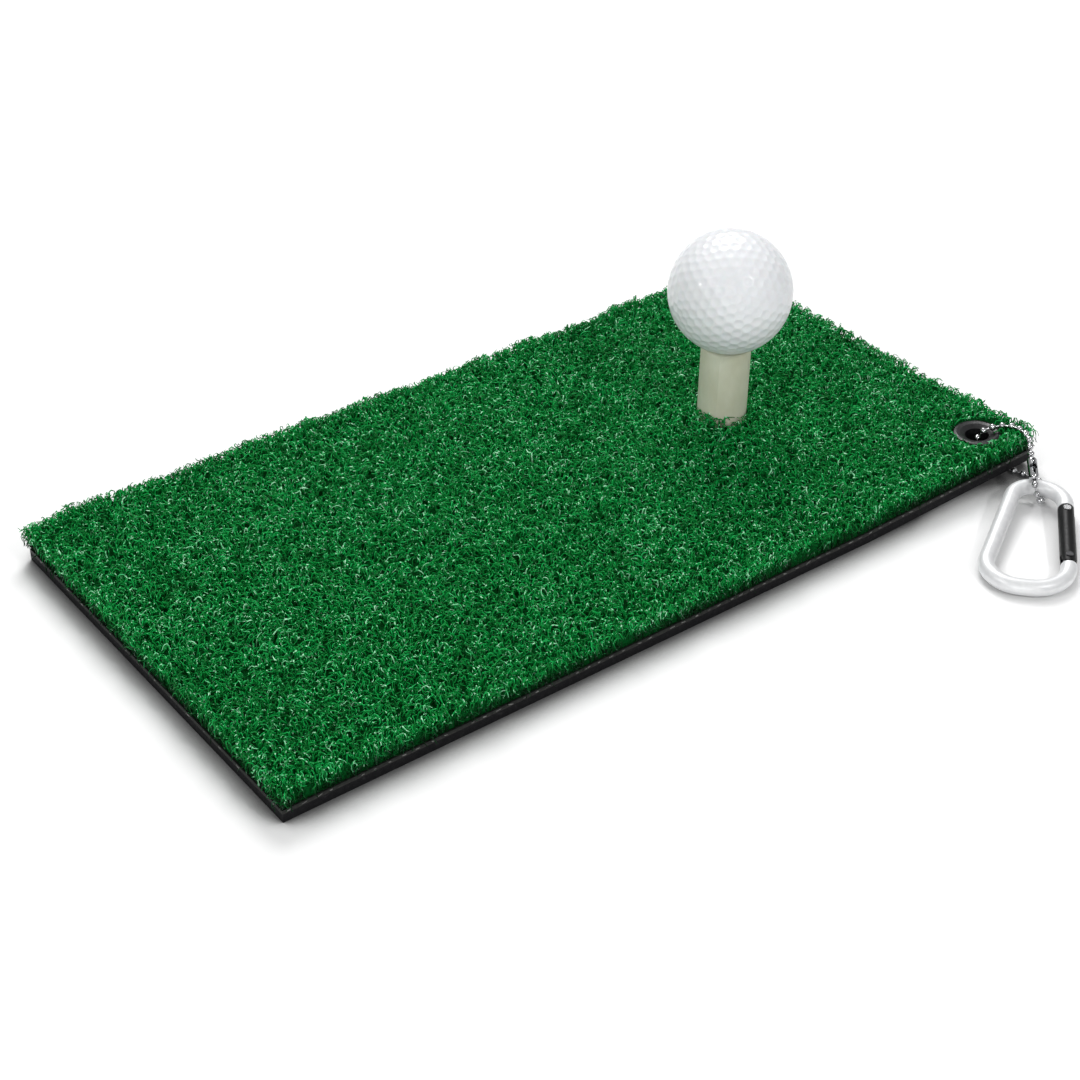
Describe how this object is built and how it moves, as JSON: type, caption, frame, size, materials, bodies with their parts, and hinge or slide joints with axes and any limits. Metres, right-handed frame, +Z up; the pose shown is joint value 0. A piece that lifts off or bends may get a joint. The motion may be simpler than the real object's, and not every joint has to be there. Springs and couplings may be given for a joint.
{
  "type": "golf hitting mat",
  "caption": "Pocket turf hitting mat with a rubber tee, a dimpled ball, and a corner eyelet whose bead chain holds a gated carabiner.",
  "frame": {"origin": "middle of the mat's underside", "axes": "+X along the mat towards the tee and the eyelet, +Y across it away from the eyelet's edge, +Z up"},
  "size_m": [0.305, 0.213, 0.0805],
  "materials": {
    "foam": "matt, closed cell",
    "latex": "matt",
    "backing": "woven",
    "turf": "tufted, slightly glossy fibres",
    "tee_rubber": "satin",
    "ball_core": "matt",
    "ball_cover": "gloss, dimpled",
    "eyelet": "satin",
    "chain": "bright",
    "carabiner": "satin polish",
    "gate_paint": "black anodised",
    "pins": "satin"
  },
  "bodies": {
    "mat": {"base_sheet": "foam", "latex_coat": "latex", "backing_cloth": "backing", "turf_pile": "turf", "eyelet": "eyelet", "eyelet_washer": "eyelet", "chain_top_beads": "chain", "chain_top_links": "chain", "chain_under_beads": "chain", "chain_under_links": "chain"},
    "tee": {"rubber_tee": "tee_rubber"},
    "ball": {"ball_core": "ball_core", "ball_cover": "ball_cover"},
    "chain_end": {"chain_drop_beads": "chain", "chain_drop_links": "chain", "chain_coupling": "chain", "chain_loop_beads": "chain", "chain_loop_links": "chain"},
    "carabiner": {"carabiner_frame": "carabiner"},
    "gate": {"gate_bar": "gate_paint", "gate_rivet": "pins", "latch_pin": "pins", "gate_spring": "pins"},
    "plunger": {"gate_plunger": "pins"}
  },
  "joints": [
    {"name": "tee_slide", "type": "slide", "parent": "mat", "child": "tee", "axis": [0, 0, 1], "range_m": [-0.024, 0]},
    {"name": "ball_lift", "type": "slide", "parent": "tee", "child": "ball", "axis": [0, 0, 1], "range_m": [0, 0.06]},
    {"name": "chain_yaw", "type": "hinge", "parent": "mat", "child": "chain_end", "pos_m": [0.145, -0.0808, 0], "axis": [0, 0, 1], "range_deg": [-20, 45]},
    {"name": "carabiner_pitch", "type": "hinge", "parent": "chain_end", "child": "carabiner", "pos_m": [0.13721, -0.09413, 0.00564], "axis": [-0.6807, 0.7325, 0], "range_deg": [0, 70]},
    {"name": "gate_swing", "type": "hinge", "parent": "carabiner", "child": "gate", "pos_m": [0.1145, -0.12684, 0.00361], "axis": [-0.0383, -0.0356, 0.9986], "range_deg": [0, 25], "stiffness_Nm_per_rad": 0.03, "springref_deg": -28.65},
    {"name": "plunger_slide", "type": "slide", "parent": "gate", "child": "plunger", "axis": [0.7315, 0.6798, 0.0523], "range_m": [0, 0.0006]}
  ],
  "couplings": [
    {"joint": "plunger_slide", "follows": "gate_swing", "m_per_rad": 0.0011}
  ]
}
